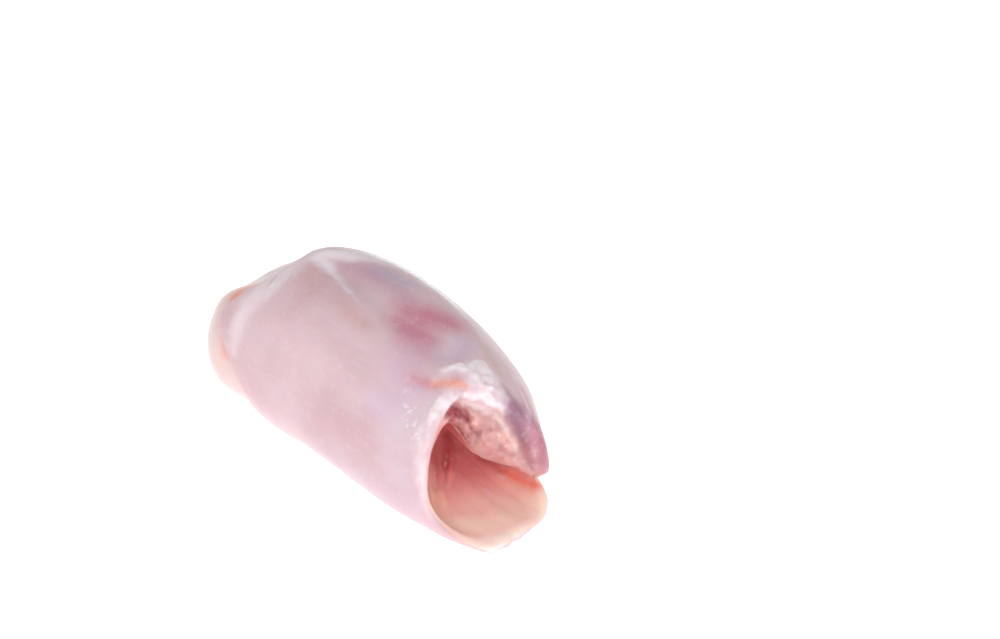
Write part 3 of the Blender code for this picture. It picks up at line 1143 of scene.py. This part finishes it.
def rawMeat():
    # raw poultry muscle, skinned and moist: pale pink and translucent, light soaks in and comes back warmer
    material = bpy.data.materials.new("rawPoultryMuscle")
    material.use_nodes = True
    tree = material.node_tree
    tree.nodes.clear()
    spot = addNode(tree, "ShaderNodeTexCoord").outputs["Object"]
    mottle, mask = {}, {}
    for name, (size, detail, roughness, stretch) in meatLook["mottles"].items():
        drawn = addNode(tree, "ShaderNodeMapping", {"Vector": spot, "Scale": stretch}).outputs[0]
        inputs = {"Vector": drawn, "Scale": 1 / (size * mm), "Detail": detail, "Roughness": roughness}
        mottle[name] = addNode(tree, "ShaderNodeTexNoise", inputs).outputs["Fac"]
    for name in ("pocket", "inward", "scuffs", "glossy", *marks):
        mask[name] = addNode(tree, "ShaderNodeAttribute", attribute_name=name).outputs["Fac"]
    colours = {name: linear(value) for name, value in meatLook.items() if isinstance(value, str)}
    pink, deep = colours["pink"], colours["deep"]
    outside = tint(tree, colours["pale"], pink, mottle["broad"], 0.40, 0.66)
    outside = tint(tree, outside, pink, mottle["middle"], 0.45, 0.85, (0, 0.35))
    outside = tint(tree, outside, colours["fibre"], mottle["fibres"], 0.5, 0.8, (0, 0.10))
    # the pocket's colour darkens towards its end, partly painted shade
    inside = tint(tree, colours["peach"], colours["salmon"], mask["inward"], 0.06, 0.36)
    inside = tint(tree, inside, deep, mask["inward"], 0.36, 0.72)
    inside = tint(tree, inside, deep, mottle["middle"], 0.4, 0.75, (0, 0.25))
    both = {0: mask["pocket"], 6: outside, 7: inside}
    colour = addNode(tree, "ShaderNodeMix", both, data_type="RGBA").outputs[2]
    crumbling = {"Value": mottle["fine"], "From Min": 0.25, "From Max": 0.75, "To Min": -0.2, "To Max": 0.2}
    crumbs = addNode(tree, "ShaderNodeMapRange", crumbling, interpolation_type="SMOOTHSTEP").outputs["Result"]
    for name, mark in marks.items():
        there = mask[name]
        if mark.get("soft", meatLook["crispBelow"]) < meatLook["crispBelow"]:
            edge = addNode(tree, "ShaderNodeMath", {0: there, 1: crumbs}, operation="ADD").outputs[0]
            ranges = {"Value": edge, "From Min": 0.05, "From Max": 0.95}
            crisp = addNode(tree, "ShaderNodeMapRange", ranges, interpolation_type="SMOOTHSTEP")
            there = crisp.outputs["Result"]
        strengths = (0.8 * mark["strength"], mark["strength"])
        colour = tint(tree, colour, linear(mark["colour"]), mottle["middle"], 0.2, 0.6, strengths, there)
    scuffs = mask["scuffs"]
    colour = tint(tree, colour, colours["scratch"], mottle["scratches"], 0.57, 0.66, (0, 0.42), scuffs)
    grain = addNode(tree, "ShaderNodeMath", {0: mottle["fine"], 1: 0.6}, operation="MULTIPLY").outputs[0]
    fibres = addNode(tree, "ShaderNodeMath", {0: mottle["fibres"], 1: 0.5}, operation="MULTIPLY").outputs[0]
    height = addNode(tree, "ShaderNodeMath", {0: grain, 1: fibres}, operation="ADD").outputs[0]
    bump = addNode(tree, "ShaderNodeBump", {"Height": height, "Strength": 0.12, "Distance": 0.3 * mm})
    coating = {"Value": mask["glossy"], "To Min": 0.25, "To Max": 0.9}
    coat = addNode(tree, "ShaderNodeMapRange", coating, interpolation_type="SMOOTHSTEP").outputs["Result"]
    wetMuscle = {
        "Base Color": colour,
        "Roughness": meatLook["gloss"],
        "IOR": 1.4,
        "Subsurface Weight": 0.85,
        "Subsurface Radius": (1.0, 0.45, 0.36),
        "Subsurface Scale": meatLook["depth"] * mm,
        "Coat Weight": coat,
        "Coat Roughness": 0.12,
        "Coat IOR": 1.34,
        "Normal": bump.outputs[0],
    }
    surface = addNode(tree, "ShaderNodeBsdfPrincipled", wetMuscle)
    addNode(tree, "ShaderNodeOutputMaterial", {"Surface": surface.outputs[0]})
    return material


def clearJuice():
    # clear meat juice: like water, so it shows only by its sparkle
    material = bpy.data.materials.new("clearMeatJuice")
    material.use_nodes = True
    surface = material.node_tree.nodes["Principled BSDF"]
    settings = {"Base Color": linear("fff6f4"), "Roughness": 0.04, "IOR": 1.34, "Transmission Weight": 1.0}
    for socket, value in settings.items():
        surface.inputs[socket].default_value = value
    return material


# Studio

studio = {
    "cameraPlace": (0.46482, -0.35786, 0.37289),
    "cameraTurn": (60.0221, 0.0, 49.8576),
    "lens": 100,
    "floorColour": "fbfbfc",
    "floorSize": 4.0,
    "floorRoughness": 0.6,
    "skyStrength": 0.46,
    "floorGlow": 0.45,
    # name, place, aim, size and watts; places and sizes are metres here
    "lamps": (
        ("overhead", (-0.15, -0.1, 0.95), (0, 0, 0), 0.5, 1.4),
        ("leftSoft", (-0.5, -0.75, 0.43), (0, 0, 0.02), 0.6, 2.05),
        ("frontSoft", (0.85, -0.42, 0.36), (0, 0, 0.02), 0.6, 4.35),
        ("rightSoft", (0.75, 0.35, 0.3), (0.04, 0, 0.01), 0.4, 0.85),
        ("sparkle", (0.42, -0.5, 0.5), (0.03, 0, 0.02), 0.06, 0.25),
    ),
}


def buildStudio():
    scene = bpy.context.scene
    camera = bpy.data.objects.new("camera", bpy.data.cameras.new("camera"))
    scene.collection.objects.link(camera)
    camera.data.lens = studio["lens"]
    camera.data.clip_start = 0.01
    camera.location = studio["cameraPlace"]
    camera.rotation_euler = [math.radians(v) for v in studio["cameraTurn"]]
    scene.camera = camera
    half = studio["floorSize"] / 2
    corners = [(-half, -half, 0), (half, -half, 0), (half, half, 0), (-half, half, 0)]
    mesh = bpy.data.meshes.new("floor")
    mesh.from_pydata(corners, [], [(0, 1, 2, 3)])
    floor = bpy.data.objects.new("floor", mesh)
    scene.collection.objects.link(floor)
    material = bpy.data.materials.new("paleTable")
    material.use_nodes = True
    surface = material.node_tree.nodes["Principled BSDF"]
    surface.inputs["Base Color"].default_value = linear(studio["floorColour"])
    surface.inputs["Roughness"].default_value = studio["floorRoughness"]
    surface.inputs["Emission Color"].default_value = (1, 1, 1, 1)
    surface.inputs["Emission Strength"].default_value = studio["floorGlow"]
    mesh.materials.append(material)
    world = bpy.data.worlds.new("softRoom")
    world.use_nodes = True
    world.node_tree.nodes["Background"].inputs["Color"].default_value = (1, 1, 1, 1)
    world.node_tree.nodes["Background"].inputs["Strength"].default_value = studio["skyStrength"]
    scene.world = world
    for name, spot, aim, size, watts in studio["lamps"]:
        lamp = bpy.data.objects.new(name, bpy.data.lights.new(name, "AREA"))
        lamp.data.size = size
        lamp.data.energy = watts
        lamp.location = spot
        lamp.rotation_euler = (Vector(spot) - Vector(aim)).to_track_quat("Z", "Y").to_euler()
        scene.collection.objects.link(lamp)
    scene.view_settings.view_transform = "Standard"


buildStudio()
print("studio ready")
meat = buildMeat()
meat.data.materials.append(rawMeat())
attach(meat, "root")
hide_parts("thigh")
print("meat ready:", len(meat.data.polygons), "faces")
juice = buildDrops(meat, clearJuice())
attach(juice, "root")
print("drops of juice ready:", len(juice.data.polygons), "faces")
